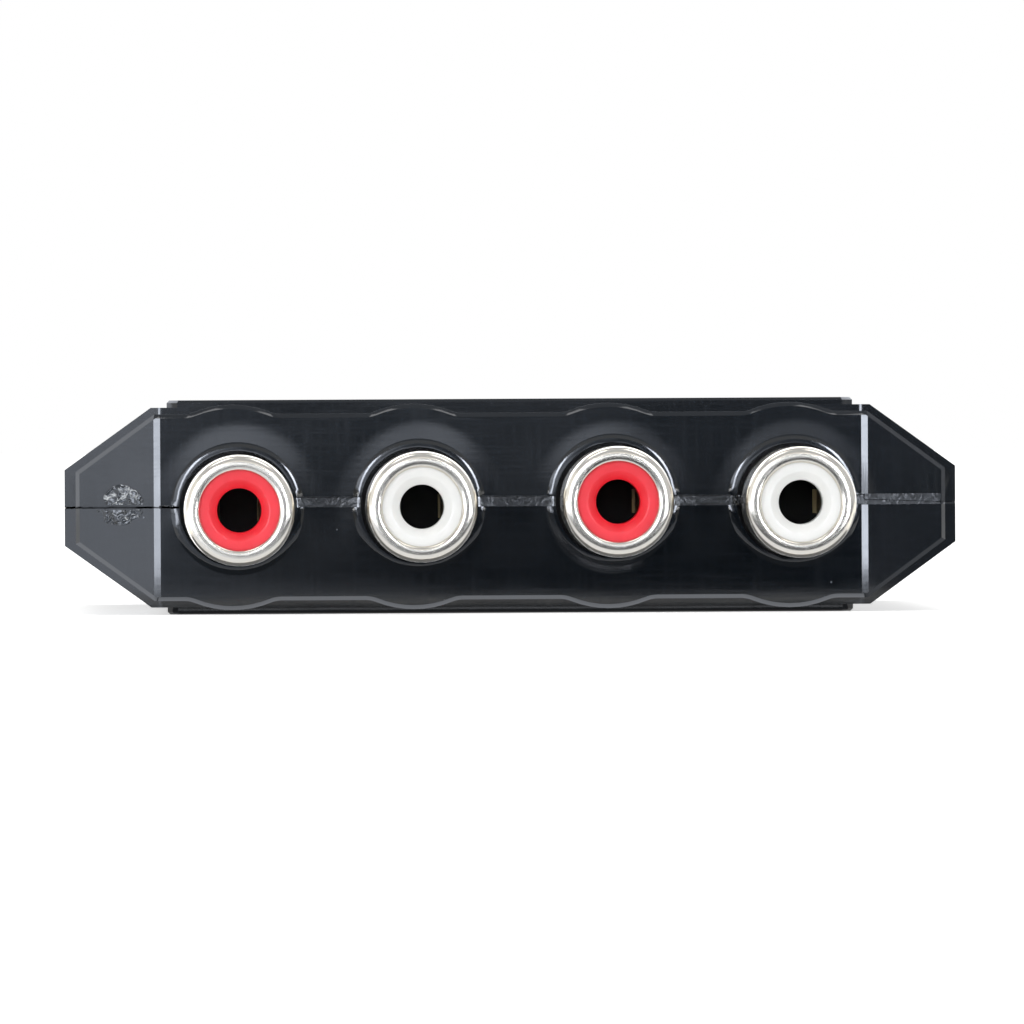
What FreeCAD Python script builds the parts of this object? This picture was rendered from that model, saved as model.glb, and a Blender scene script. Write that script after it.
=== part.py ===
import FreeCAD, Part
import math
import os

# Line output converter: a moulded two-part case with four phono jacks in its nose.
# Millimetres. The jacks face -Y, +Z is up, and the origin is the middle of the bottom panel.

# Phono jacks
shell_radius = 4.15
shell_wall = 0.4
lip_radius = 0.95
lip_opening_radius = 2.95
jack_reach = 10.5
jack_centre_gap = 14.6
jack_pair_pitch = 13.6
jack_shift = 0.47
jack_rises = (-0.18, 0.02, 0.32, 0.22)
insert_hole_radius = 1.65
insert_throat_length = 3.0
countersink_radius = 2.25
block_width = 10.6
block_depth = 9.0
block_roof = 5.2
block_bevel = 0.8
stake_width = 1.6
stake_length = 1.2
stake_thickness = 0.26
stake_inset = 0.02
prong_gap = 2.9
prong_width = 1.8
prong_thickness = 0.25
prong_flare = 0.3
tail_width = 1.3
tail_reach = 4.0
tab_width = 1.5
tab_reach = 0.9
prong_tip_gap = 0.4
pin_reach = 14.8
pin_pocket_radius = 1.8
pin_pocket_web = 0.5

# Case
case_length = 76.0
wall = 1.4
front_wall = 1.8
rear_wall = 1.8
panel_rise = 0.55
panel_side_margin = 1.2
panel_end_margin = 3.5
panel_corner_bevel = 0.8
panel_edge_bevel = 0.2
nose_drop = 0.5
nose_corner_offset = 0.2
nose_tip_inset = 0.84
nose_tip_drop = 0.15
shoulder_side_step = 0.25
nose_block_depth = 6.0
shoulder_depth = 1.5
barrel_rise = 0.7
barrel_foot_radius = 2.0
crease_margin = 5.65
wing_span = 6.5
wing_drop = 4.65
wing_slope = 15.0
crease_bevel = 0.5
nose_edge_bevel = 0.3
boss_width = 0.65
boss_rim = 0.15
boss_height = 0.2
boss_root = 0.3
hole_shift = -0.1
hole_rise = 0.08

# Seam between the case halves
seam_gap = 0.06
tongue_thickness = 0.6
tongue_height = 1.1
lip_height = 0.75
lip_setback = 0.08
wing_gap_start = 0.38
wing_gap_end = 0.08

# Posts, pins and ribs inside the case
wing_post_width = 3.0
wing_post_inset = 2.9
wing_post_end_distance = 13.0
locating_pin_width = 1.5
locating_pin_height = 2.0
rib_width = 1.2
rib_edge_distance = 0.9
hold_down_width = 2.2
hold_down_inset = 1.8

# Circuit board and what it carries
board_thickness = 1.2
board_standoff = 1.1
shell_board_gap = 0.2
board_front_gap = 0.4
board_side_gap = 0.4
board_rear_gap = 4.0
headroom = 0.8
core_width = 14.0
core_stack = 5.0
core_leg = 4.0
core_yoke = 2.0
bobbin_side_gap = 0.3
bobbin_depth = 11.8
bobbin_flange = 0.7
bobbin_tube_wall = 0.5
winding_margin = 0.35
winding_corner_bevel = 1.2
transformer_row_gap = 3.0
transformer_pin_size = 0.6
transformer_pin_spread = 7.0
transformer_pin_inset = 0.9
resistor_length = 3.2
resistor_width = 1.6
resistor_height = 0.6
resistor_cap_length = 0.5
resistor_cap_lift = 0.04
resistor_columns = 4
resistor_row_gap = 4.0
resistor_pitch = 11.4
lead_stub = 0.45

# Cable outlet
cable_slot_width = 10.0
cable_slot_height = 5.0
grommet_wall = 1.1
grommet_flange_width = 1.3
grommet_flange_thickness = 1.0
grommet_corner = 1.5

# Clearances
hole_clearance = 0.2
slip = 0.05
lead_clearance = 0.12
tongue_clearance = 0.08
pin_clearance = 0.08
block_clearance = 0.1

# How far a cutting tool or a root runs past a face, and how closely places are compared
past = 1.0
tolerance = 0.01

# Levels and places that follow from the sizes above
front = -case_length / 2
rear = case_length / 2
board_bottom = wall + board_standoff
board_top = board_bottom + board_thickness
split = board_top + shell_board_gap + shell_radius
body_height = split - panel_rise
nose_height = body_height - nose_drop
barrel_radius = nose_height + barrel_rise
ceiling = 2 * split - wall
core_height = ceiling - board_top - headroom
bobbin_width = core_width - 2 * core_yoke - 2 * bobbin_side_gap
barrel_places = (
    -jack_centre_gap / 2 - jack_pair_pitch,
    -jack_centre_gap / 2,
    jack_centre_gap / 2,
    jack_centre_gap / 2 + jack_pair_pitch,
)
crease = jack_centre_gap / 2 + jack_pair_pitch + crease_margin
nose_flat = crease + nose_corner_offset
body_flat = nose_flat + shoulder_side_step
body_side = body_flat + wing_span
tip_height = body_height - wing_drop
wing_recess = (body_side - crease) * math.tan(math.radians(wing_slope))
panel_side = body_flat - panel_side_margin
panel_end = case_length / 2 - panel_end_margin
hole_radius = shell_radius + hole_clearance
boss_radius = hole_radius + boss_width
board_side = panel_side - wall - board_side_gap
board_front = front + front_wall + board_front_gap
board_rear = rear - rear_wall - board_rear_gap
lip_front = front - jack_reach
block_front = front + front_wall + block_clearance
block_rear = block_front + block_depth
contact_base = lip_front + pin_reach + pin_pocket_web
insert_front = lip_front + shell_wall + slip
insert_rear = insert_front + countersink_radius - insert_hole_radius + insert_throat_length
transformer_side = board_side / 2
transformer_rows = (
    block_rear + transformer_row_gap + bobbin_depth / 2,
    block_rear + 2 * transformer_row_gap + 1.5 * bobbin_depth,
)
resistor_rows = (
    transformer_rows[1] + bobbin_depth / 2 + resistor_row_gap,
    transformer_rows[1] + bobbin_depth / 2 + 2 * resistor_row_gap,
)
across = FreeCAD.Vector(0, 1, 0)


def box(x0, x1, y0, y1, z0, z1):
    """A box between two corners."""
    return Part.makeBox(x1 - x0, y1 - y0, z1 - z0, FreeCAD.Vector(x0, y0, z0))


def rod(radius, start, end):
    """A round rod from one point to another."""
    start = FreeCAD.Vector(*start)
    run = FreeCAD.Vector(*end) - start
    return Part.makeCylinder(radius, run.Length, start, run)


def joined(shapes):
    """Several overlapping or touching solids as one."""
    whole = shapes[0]
    for shape in shapes[1:]:
        whole = whole.fuse(shape)
    return whole.removeSplitter()


def without(shape, tools):
    """A solid with each tool cut from it."""
    for tool in tools:
        shape = shape.cut(tool)
    return shape


def slab(corners, direction):
    """A flat outline of corner points, pulled along a direction."""
    points = [FreeCAD.Vector(*corner) for corner in corners]
    outline = Part.makePolygon(points + [points[0]])
    return Part.Face(outline).extrude(FreeCAD.Vector(*direction))


def turned(profile, x, z):
    """A profile of (radius, y) edges turned about the line through x and z along Y."""
    solid = Part.Face(Part.Wire(profile)).revolve(FreeCAD.Vector(0, 0, 0), across, 360)
    solid.translate(FreeCAD.Vector(x, 0, z))
    return solid


def line(a, b):
    """A straight edge between two (radius, y) points."""
    return Part.makeLine(FreeCAD.Vector(a[0], a[1], 0), FreeCAD.Vector(b[0], b[1], 0))


def upright_edges(solid):
    """The edges of a solid that stand along Z."""
    return [edge for edge in solid.Edges
            if abs(edge.Vertexes[0].Z - edge.Vertexes[-1].Z) > edge.Length - tolerance]


def rows_of_lines(points):
    """Straight edges that join a closed row of (radius, y) points."""
    following = points[1:] + points[:1]
    return [line(a, b) for a, b in zip(points, following)]


def hexagon(side, height, flat, tip):
    """Corners of the case section, relative to its middle, as (x, z)."""
    return [
        (-side, -tip), (-flat, -height), (flat, -height),
        (side, -tip), (side, tip), (flat, height),
        (-flat, height), (-side, tip),
    ]


def inset_hexagon(inset):
    """Corners of the body section moved inwards by one wall thickness."""
    length = math.hypot(wing_span, wing_drop)
    normal_x = wing_drop / length
    normal_z = wing_span / length
    reach = normal_x * body_flat + normal_z * body_height - inset
    height = body_height - inset
    side = body_side - inset
    flat = (reach - normal_z * height) / normal_x
    tip = (reach - normal_x * side) / normal_z
    return hexagon(side, height, flat, tip)


def section_prism(corners, y0, y1):
    """The case section pulled along Y."""
    return slab([(x, y0, split + z) for x, z in corners], (0, y1 - y0, 0))


def wing_cut(side, depth):
    """What lies in front of a wing's sloping face, moved back by a depth."""
    turn = math.radians(wing_slope)
    start = crease - depth * math.tan(turn / 2)
    face = front + depth
    half = crease_bevel / 2
    far = body_side + past
    ahead = front - boss_height - past
    plan = [
        (start - half, ahead), (far, ahead), (far, face + (far - start) * math.tan(turn)),
        (start + half * math.cos(turn), face + half * math.sin(turn)), (start - half, face),
    ]
    return slab([(side * x, y, -past) for x, y in plan], (0, 0, 2 * (split + past)))


def nose_outline():
    """The nose section: a hexagon with a barrel over and under each jack."""
    flat = nose_flat
    side = body_side - nose_tip_inset
    tip = tip_height - nose_tip_drop
    foot = math.sqrt(
        (barrel_radius + barrel_foot_radius) ** 2 - (nose_height + barrel_foot_radius) ** 2)
    reach = barrel_radius / (barrel_radius + barrel_foot_radius)
    touch_x = foot * reach
    touch_z = (nose_height + barrel_foot_radius) * reach
    half_turn = math.atan2(foot, nose_height + barrel_foot_radius) / 2
    ease_x = foot - barrel_foot_radius * math.sin(half_turn)
    ease_z = nose_height + barrel_foot_radius - barrel_foot_radius * math.cos(half_turn)
    edges = []

    def point(x, z):
        return FreeCAD.Vector(x, front, split + z)

    for level in (1, -1):
        last = point(-flat, level * nose_height)
        for x in barrel_places:
            start = point(x - foot, level * nose_height)
            edges.append(Part.makeLine(last, start))
            rising = point(x - ease_x, level * ease_z)
            left = point(x - touch_x, level * touch_z)
            edges.append(Part.Arc(start, rising, left).toShape())
            right = point(x + touch_x, level * touch_z)
            edges.append(Part.Arc(left, point(x, level * barrel_radius), right).toShape())
            falling = point(x + ease_x, level * ease_z)
            last = point(x + foot, level * nose_height)
            edges.append(Part.Arc(right, falling, last).toShape())
        edges.append(Part.makeLine(last, point(flat, level * nose_height)))
        edges.append(Part.makeLine(point(flat, level * nose_height), point(side, level * tip)))
        edges.append(Part.makeLine(point(-flat, level * nose_height), point(-side, level * tip)))
    edges.append(Part.makeLine(point(side, tip), point(side, -tip)))
    edges.append(Part.makeLine(point(-side, tip), point(-side, -tip)))
    return Part.Wire(Part.__sortEdges__(edges))


def nose():
    """The stepped nose block with its sloping wings and bevelled rim."""
    solid = Part.Face(nose_outline()).extrude(FreeCAD.Vector(0, nose_block_depth, 0))
    solid = without(solid, [wing_cut(side, 0) for side in (-1, 1)])
    slope = math.tan(math.radians(wing_slope))

    def on_front(edge):
        for vertex in edge.Vertexes:
            beyond = max(0, abs(vertex.X) - crease)
            if abs(vertex.Y - front - beyond * slope) > crease_bevel / 2:
                return False
        return True

    def across_face(edge):
        middle = edge.CenterOfMass
        return abs(middle.z - split) < tolerance and abs(middle.x) < crease + crease_bevel

    rim = [edge for edge in solid.Edges if on_front(edge) and not across_face(edge)]
    return solid.makeChamfer(nose_edge_bevel, rim)


def boss(x, z):
    """A low collar that rises to the edge of a jack hole."""
    brim = front - boss_height
    profile = rows_of_lines([
        (0, front + boss_root), (boss_radius, front + boss_root), (boss_radius, front),
        (hole_radius + boss_rim, brim), (0, brim),
    ])
    return turned(profile, x, z)


def panel(level):
    """A raised panel on the top or the bottom of the body."""
    low = split + level * (body_height - wall)
    high = split + level * split
    plate = box(-panel_side, panel_side, -panel_end, panel_end, min(low, high), max(low, high))
    plate = plate.makeChamfer(panel_corner_bevel, upright_edges(plate))
    rim = [edge for edge in plate.Edges
           if all(abs(vertex.Z - high) < tolerance for vertex in edge.Vertexes)]
    return plate.makeChamfer(panel_edge_bevel, rim)


def outer_form():
    """The outside of the closed case, with no holes."""
    body = section_prism(hexagon(body_side, body_height, body_flat, tip_height),
                         front + shoulder_depth, rear)
    body = without(body, [wing_cut(side, shoulder_depth) for side in (-1, 1)])
    barrels = [
        rod(barrel_radius, (x, front + shoulder_depth, split), (x, past - panel_end, split))
        for x in barrel_places
    ]
    bosses = [boss(x, z) for x, z in hole_places()]
    return joined([body, nose(), panel(1), panel(-1)] + barrels + bosses)


def cavity():
    """The space inside the case."""
    space = section_prism(inset_hexagon(wall), front + front_wall, rear - rear_wall)
    space = without(space, [wing_cut(side, front_wall) for side in (-1, 1)])
    under_panels = box(wall - panel_side, panel_side - wall, wall - panel_end,
                       panel_end - wall, wall, ceiling)
    return space.fuse(under_panels)


def plan_prism(side_inset, front_inset, rear_inset, z0, z1):
    """The case seen from above, moved inwards, between two levels."""
    side = body_side - side_inset
    solid = box(-side, side, front + front_inset, rear - rear_inset, z0, z1)
    return without(solid, [wing_cut(way, front_inset) for way in (-1, 1)])


def tongue_band(grow, height):
    """The inner part of the wall that laps over the seam."""
    thickness = tongue_thickness + grow
    return plan_prism(wall - thickness, front_wall - thickness, rear_wall - thickness,
                      split - seam_gap, split + height)


def front_lip_zone(clear):
    """Where the lower half's lip shows in the upper half's front edge."""
    start = barrel_places[0] + clear
    end_side = body_side + past
    ahead = front - past
    corners = [
        (start, ahead, split - seam_gap),
        (start, ahead, split + lip_height - clear),
        (crease, ahead, split + lip_height - clear),
        (crease, ahead, split + wing_gap_start - clear),
        (end_side, ahead, split + wing_gap_end - clear / 2),
        (end_side, ahead, split - seam_gap),
    ]
    return slab(corners, (0, front_wall + wing_recess + 2 * past, 0))


def case_holes():
    """Tools for the jack holes and the cable outlet."""
    tools = [
        rod(hole_radius, (x, front - boss_height - past, z), (x, front + front_wall + past, z))
        for x, z in hole_places()
    ]
    neck = grommet_wall + slip
    tools.append(grommet_block(neck, rear - rear_wall - past, rear + past))
    return tools


def square_post(x, y, width, z0, z1):
    """An upright post of square section."""
    half = width / 2
    return box(x - half, x + half, y - half, y + half, z0, z1)


def wing_post_places():
    """Centres of the locating posts in the wings."""
    side = body_side - wall - wing_post_inset
    end = case_length / 2 - wing_post_end_distance
    return [(x, y) for x in (-side, side) for y in (-end, end)]


def lower_case(outer, space):
    """The lower half: tongue, lip, board ribs and locating pins."""
    top = split - seam_gap / 2
    half_space = box(-body_side - past, body_side + past, front - past, rear + past,
                     -past, top)
    walls = outer.cut(space)
    half = walls.common(half_space)
    tongue = tongue_band(0, tongue_height).cut(space)
    lip = outer.copy()
    lip.translate(FreeCAD.Vector(0, lip_setback, 0))
    lip = lip.common(front_lip_zone(slip)).cut(space)
    pieces = [half, tongue, lip.common(walls)]
    rib_side = board_side - rib_edge_distance
    for x in (-rib_side, rib_side):
        pieces.append(box(x - rib_width / 2, x + rib_width / 2, wall - panel_end,
                          board_rear, wall / 2, board_bottom))
    for x, y in wing_post_places():
        pieces.append(square_post(x, y, wing_post_width, 0, top).common(outer))
        pieces.append(square_post(x, y, locating_pin_width, split - past,
                                  split + locating_pin_height))
    return without(joined(pieces), case_holes())


def upper_case(outer, space):
    """The upper half: rabbet for the tongue, lip relief, sockets and hold-down posts."""
    bottom = split + seam_gap / 2
    half_space = box(-body_side - past, body_side + past, front - past, rear + past,
                     bottom, 2 * split + past)
    half = outer.cut(space).common(half_space)
    tools = [
        tongue_band(tongue_clearance, tongue_height + tongue_clearance),
        front_lip_zone(0),
    ]
    half = without(half, tools)
    pieces = [half]
    sockets = []
    socket_width = locating_pin_width + 2 * pin_clearance
    for x, y in wing_post_places():
        pieces.append(square_post(x, y, wing_post_width, bottom, 2 * split).common(outer))
        sockets.append(square_post(x, y, socket_width, split - past,
                                   split + locating_pin_height + pin_clearance))
    side = board_side - hold_down_inset
    for x in (-side, side):
        for y in (transformer_rows[0], board_rear - hold_down_inset):
            pieces.append(square_post(x, y, hold_down_width, board_top, ceiling + wall / 2))
    return without(joined(pieces), sockets + case_holes())


def grommet_block(grow, y0, y1):
    """The cable slot's section, grown all round, between two depths."""
    side = cable_slot_width / 2 + grow
    height = cable_slot_height / 2 + grow
    return box(-side, side, y0, y1, split - height, split + height)


def cable_grommet():
    """A rubber frame with a groove that grips the rear wall."""
    flange = grommet_wall + grommet_flange_width
    inner_face = rear - rear_wall - slip
    outer_face = rear + slip
    plates = [
        grommet_block(flange, inner_face - grommet_flange_thickness, inner_face),
        grommet_block(flange, outer_face, outer_face + grommet_flange_thickness),
    ]
    pieces = []
    for plate in plates:
        corners = [edge for edge in plate.Edges
                   if abs(edge.Vertexes[0].Y - edge.Vertexes[-1].Y) > edge.Length - tolerance]
        pieces.append(plate.makeChamfer(grommet_corner, corners))
    pieces.append(grommet_block(grommet_wall, inner_face, outer_face))
    beyond = grommet_flange_thickness + past
    slot = grommet_block(0, inner_face - beyond, outer_face + beyond)
    return joined(pieces).cut(slot)


def jack_shell(x, z):
    """The plated sleeve with its rolled lip, two staking tabs and a ground tab."""
    inner = shell_radius - shell_wall
    bend = shell_radius - lip_radius
    knee = lip_radius * math.sin(math.radians(45))
    profile = rows_of_lines([
        (lip_opening_radius, lip_front + shell_wall), (lip_opening_radius, lip_front),
        (bend, lip_front), (bend + knee, lip_front + lip_radius - knee),
        (shell_radius, lip_front + lip_radius), (shell_radius, block_front),
        (inner, block_front), (inner, lip_front + shell_wall),
    ])
    pieces = [turned(profile, x, z)]
    for side in (-1, 1):
        near = x + side * (inner + stake_inset)
        far = near + side * stake_thickness
        pieces.append(box(min(near, far), max(near, far), block_front - past,
                          block_front + stake_length, z - stake_width / 2, z + stake_width / 2))
    low = z - inner - stake_inset - stake_thickness
    pieces.append(box(x - tab_width / 2, x + tab_width / 2, block_front - past,
                      block_front + tab_reach, low, low + stake_thickness))
    pieces.append(box(x - tab_width / 2, x + tab_width / 2,
                      block_front + tab_reach - prong_thickness, block_front + tab_reach,
                      board_bottom - lead_stub, low))
    return joined(pieces)


def jack_insert(x, z):
    """The coloured insulator with a countersunk hole for the plug's pin."""
    outer = shell_radius - shell_wall - slip
    sink = countersink_radius - insert_hole_radius
    profile = rows_of_lines([
        (countersink_radius, insert_front), (outer, insert_front),
        (outer, insert_rear), (insert_hole_radius, insert_rear),
        (insert_hole_radius, insert_front + sink),
    ])
    return turned(profile, x, z)


def jack_contact(x, z):
    """The forked spring that grips the pin, with its solder tail."""
    base_rear = contact_base + prong_thickness
    half_gap = prong_gap / 2
    tip = insert_rear + prong_tip_gap
    waist = tip + (contact_base - tip) / 3
    low = z - prong_width / 2
    pieces = []
    for side in (-1, 1):
        near = x + side * half_gap
        wide = x + side * (half_gap + prong_flare)
        thick = side * prong_thickness
        corners = [
            (wide, tip), (near, waist), (wide, base_rear),
            (wide + thick, base_rear), (near + thick, waist), (wide + thick, tip),
        ]
        pieces.append(slab([(a, b, low) for a, b in corners], (0, 0, prong_width)))
    reach = half_gap + prong_flare
    pieces.append(box(x - reach, x + reach, contact_base, base_rear, low, low + prong_width))
    end = block_front + tail_reach
    pieces.append(box(x - tail_width / 2, x + tail_width / 2, contact_base, end,
                      z, z + prong_thickness))
    pieces.append(box(x - tail_width / 2, x + tail_width / 2, end - prong_thickness, end,
                      board_bottom - lead_stub, z))
    return joined(pieces)


def contact_slots(x, z):
    """Tools for the contact's room in its block: beside the pin, behind it and down to the board."""
    near = prong_gap / 2 - slip
    reach = prong_gap / 2 + prong_flare + prong_thickness + slip
    half = prong_width / 2 + slip
    base_rear = contact_base + prong_thickness + slip
    tools = [box(x - reach, x + reach, contact_base - slip, base_rear, z - half, z + half)]
    for side in (-1, 1):
        low = min(side * near, side * reach)
        tools.append(box(x + low, x + low + reach - near, block_front - past, base_rear,
                         z - half, z + half))
    half_tail = tail_width / 2 + slip
    tools.append(box(x - half_tail, x + half_tail, contact_base - slip,
                     block_front + tail_reach + slip, board_top - past,
                     z + prong_thickness + slip))
    return tools


def shell_slots(x, z):
    """Tools for the sleeve's tabs: one at each side, and the ground tab with its leg."""
    inner = shell_radius - shell_wall
    tools = []
    for side in (-1, 1):
        near = x + side * (inner + stake_inset - slip)
        far = near + side * (stake_thickness + 2 * slip)
        half = stake_width / 2 + slip
        tools.append(box(min(near, far), max(near, far), block_front - past,
                         block_front + stake_length + slip, z - half, z + half))
    half_tab = tab_width / 2 + slip
    end = block_front + tab_reach + slip
    top = z - inner - stake_inset + slip
    tools.append(box(x - half_tab, x + half_tab, block_front - past, end,
                     top - stake_thickness - 2 * slip, top))
    tools.append(box(x - half_tab, x + half_tab, end - prong_thickness - 2 * slip, end,
                     board_top - past, top))
    return tools


def jack_body(x, z):
    """The moulded block that holds the sleeve and the contact, with a pocket for the pin's end."""
    block = box(x - block_width / 2, x + block_width / 2, block_front, block_rear,
                board_top, z + block_roof)
    roof = [edge for edge in block.Edges
            if all(abs(vertex.Z - z - block_roof) < tolerance for vertex in edge.Vertexes)]
    block = block.makeChamfer(block_bevel, roof)
    pocket = rod(pin_pocket_radius, (x, block_front - past, z), (x, lip_front + pin_reach, z))
    return without(block, [pocket] + contact_slots(x, z) + shell_slots(x, z))


def transformer_places():
    """Centres of the four transformers on the board."""
    return [(x, y) for y in transformer_rows for x in (-transformer_side, transformer_side)]


def transformer_core(x, y):
    """A stack of laminations: a frame with a middle leg."""
    base = board_top
    frame = box(x - core_width / 2, x + core_width / 2, y - core_stack / 2,
                y + core_stack / 2, base, base + core_height)
    window = (core_width - 2 * core_yoke - core_leg) / 2
    tools = []
    for side in (-1, 1):
        middle = x + side * (core_leg + window) / 2
        tools.append(box(middle - window / 2, middle + window / 2, y - core_stack,
                         y + core_stack, base + core_yoke, base + core_height - core_yoke))
    return without(frame, tools)


def winding_levels():
    """Bottom and top of the space between a core's yokes."""
    return board_top + core_yoke + slip, board_top + core_height - core_yoke - slip


def transformer_bobbin(x, y):
    """A spool round the core's middle leg, with two feet that carry the pins."""
    low, high = winding_levels()
    half_leg = core_leg / 2 + slip
    half_stack = core_stack / 2 + slip
    tube_x = half_leg + bobbin_tube_wall
    tube_y = half_stack + bobbin_tube_wall
    half_width = bobbin_width / 2
    half_depth = bobbin_depth / 2
    pieces = [box(x - tube_x, x + tube_x, y - tube_y, y + tube_y, low, high)]
    for level in (low, high - bobbin_flange):
        pieces.append(box(x - half_width, x + half_width, y - half_depth, y + half_depth,
                          level, level + bobbin_flange))
    for side in (-1, 1):
        inner = y + side * (core_stack / 2 + slip)
        outer = y + side * half_depth
        pieces.append(box(x - half_width, x + half_width, min(inner, outer),
                          max(inner, outer), board_top, low + bobbin_flange))
    hollow = box(x - half_leg, x + half_leg, y - half_stack, y + half_stack,
                 low - past, high + past)
    return joined(pieces).cut(hollow)


def pin_tools(x, y, grow):
    """The four pins under one transformer, as solids or as tools for their holes."""
    half = transformer_pin_size / 2 + grow
    spread = transformer_pin_spread / 2
    reach = bobbin_depth / 2 - transformer_pin_inset
    return [
        box(x + a * spread - half, x + a * spread + half, y + b * reach - half,
            y + b * reach + half, board_bottom - lead_stub, board_top)
        for a in (-1, 1) for b in (-1, 1)
    ]


def transformer_winding(x, y):
    """Taped wire wound on the spool, with bevelled corners."""
    low, high = winding_levels()
    low = low + bobbin_flange + slip
    high = high - bobbin_flange - slip
    half_width = bobbin_width / 2 - winding_margin
    half_depth = bobbin_depth / 2 - winding_margin
    coil = box(x - half_width, x + half_width, y - half_depth, y + half_depth, low, high)
    coil = coil.makeChamfer(winding_corner_bevel, upright_edges(coil))
    tube_x = core_leg / 2 + 2 * slip + bobbin_tube_wall
    tube_y = core_stack / 2 + 2 * slip + bobbin_tube_wall
    return coil.cut(box(x - tube_x, x + tube_x, y - tube_y, y + tube_y,
                        low - past, high + past))


def transformer_pins():
    """All transformer pins, as a group of separate solids."""
    pins = []
    for x, y in transformer_places():
        pins.extend(pin_tools(x, y, 0))
    return Part.makeCompound(pins)


def resistor_places():
    """Centres of the eight resistors on the board."""
    first = -(resistor_columns - 1) * resistor_pitch / 2
    return [(first + column * resistor_pitch, y)
            for y in resistor_rows for column in range(resistor_columns)]


def resistor(x, y):
    """A chip resistor with a raised metal cap at each end."""
    half = resistor_length / 2
    side = resistor_width / 2
    top = board_top + resistor_height
    low = board_top + resistor_cap_lift
    pieces = [box(x - half, x + half, y - side, y + side, low, top)]
    for end in (-1, 1):
        near = x + end * (half - resistor_cap_length)
        far = x + end * (half + resistor_cap_lift)
        pieces.append(box(min(near, far), max(near, far), y - side - resistor_cap_lift,
                          y + side + resistor_cap_lift, board_top, top + resistor_cap_lift))
    return joined(pieces)


def circuit_board():
    """The board, with a slot for each lead that passes through it."""
    plate = box(-board_side, board_side, board_front, board_rear, board_bottom, board_top)
    tools = []
    for x, y in transformer_places():
        tools.extend(pin_tools(x, y, lead_clearance))
    grow = lead_clearance
    low = board_bottom - past
    high = board_top + past
    for x in jack_places():
        for width, reach in ((tab_width, tab_reach), (tail_width, tail_reach)):
            end = block_front + reach
            tools.append(box(x - width / 2 - grow, x + width / 2 + grow,
                             end - prong_thickness - grow, end + grow, low, high))
    return without(plate, tools)


def jack_places():
    """The jacks' places across the case."""
    return [x + jack_shift for x in barrel_places]


def hole_places():
    """Centres of the case's jack holes, each a little beside its jack and above it."""
    return [(x + hole_shift, split + rise + hole_rise)
            for x, rise in zip(jack_places(), jack_rises)]


def build():
    """Make every node as a named shape."""
    outer = outer_form()
    space = cavity()
    nodes = {
        "lower_case": lower_case(outer.copy(), space.copy()),
        "upper_case": upper_case(outer.copy(), space.copy()),
        "cable_grommet": cable_grommet(),
        "circuit_board": circuit_board(),
        "transformer_pins": transformer_pins(),
    }
    for number, (x, rise) in enumerate(zip(jack_places(), jack_rises), start=1):
        z = split + rise
        nodes[f"jack_{number}_shell"] = jack_shell(x, z)
        nodes[f"jack_{number}_insert"] = jack_insert(x, z)
        nodes[f"jack_{number}_contact"] = jack_contact(x, z)
        nodes[f"jack_{number}_body"] = jack_body(x, z)
    for number, (x, y) in enumerate(transformer_places(), start=1):
        nodes[f"transformer_{number}_core"] = transformer_core(x, y)
        nodes[f"transformer_{number}_bobbin"] = transformer_bobbin(x, y)
        nodes[f"transformer_{number}_winding"] = transformer_winding(x, y)
    for number, (x, y) in enumerate(resistor_places(), start=1):
        nodes[f"resistor_{number}"] = resistor(x, y)
    return nodes


def main():
    """Write one file for each node."""
    os.makedirs("parts", exist_ok=True)
    for name, shape in build().items():
        shape.exportStep(f"parts/{name}.step")
        print(name, len(shape.Solids), round(shape.Volume, 2), shape.isValid())


if __name__ == "__main__":
    main()
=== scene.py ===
"""The looks of a line output converter: a glossy two-part case with four phono jacks in its nose.

All places are in metres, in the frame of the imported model: the jacks face -Y and +Z is up.
"""

import logging
import math
from dataclasses import dataclass
from enum import Enum

import bpy
from bpy.types import Material, Node, NodeOutputs, NodeSocket, NodeTree, Object
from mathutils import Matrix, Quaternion, Vector, noise


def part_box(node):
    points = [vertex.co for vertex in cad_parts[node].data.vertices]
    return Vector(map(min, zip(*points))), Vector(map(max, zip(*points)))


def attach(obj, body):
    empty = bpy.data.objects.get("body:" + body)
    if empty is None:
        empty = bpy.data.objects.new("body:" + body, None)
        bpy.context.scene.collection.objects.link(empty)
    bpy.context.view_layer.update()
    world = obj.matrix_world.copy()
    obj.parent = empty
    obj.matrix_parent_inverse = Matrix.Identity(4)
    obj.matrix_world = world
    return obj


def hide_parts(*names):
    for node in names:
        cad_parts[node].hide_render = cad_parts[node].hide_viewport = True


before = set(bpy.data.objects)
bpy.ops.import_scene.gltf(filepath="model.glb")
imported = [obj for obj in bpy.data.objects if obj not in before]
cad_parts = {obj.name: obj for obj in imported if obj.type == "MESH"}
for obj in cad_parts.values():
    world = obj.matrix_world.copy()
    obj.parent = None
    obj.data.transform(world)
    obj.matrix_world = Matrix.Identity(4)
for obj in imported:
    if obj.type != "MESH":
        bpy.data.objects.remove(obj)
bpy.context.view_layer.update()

MM = 0.001
NOISE_SEED = 7
MERGE_DISTANCE = 0.001 * MM
SMOOTH_ANGLE = math.radians(28)
SHARP_ANGLE = math.radians(30)
PLASTIC_IOR = 1.53
# at so many watts for each square metre a lamp's face glows about as bright as white paper
WATTS_FOR_WHITE = 4
Place = tuple[float, float, float]
Pairs = tuple[tuple[float, float], ...]
log = logging.getLogger("converter")


class Channel(Enum):
    """The colour that tells a jack's channel."""

    RIGHT = "insert_red"
    LEFT = "insert_white"


class Element(Enum):
    """What edit mode picks."""

    POINTS = "VERT"
    EDGES = "EDGE"
    FACES = "FACE"


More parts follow.
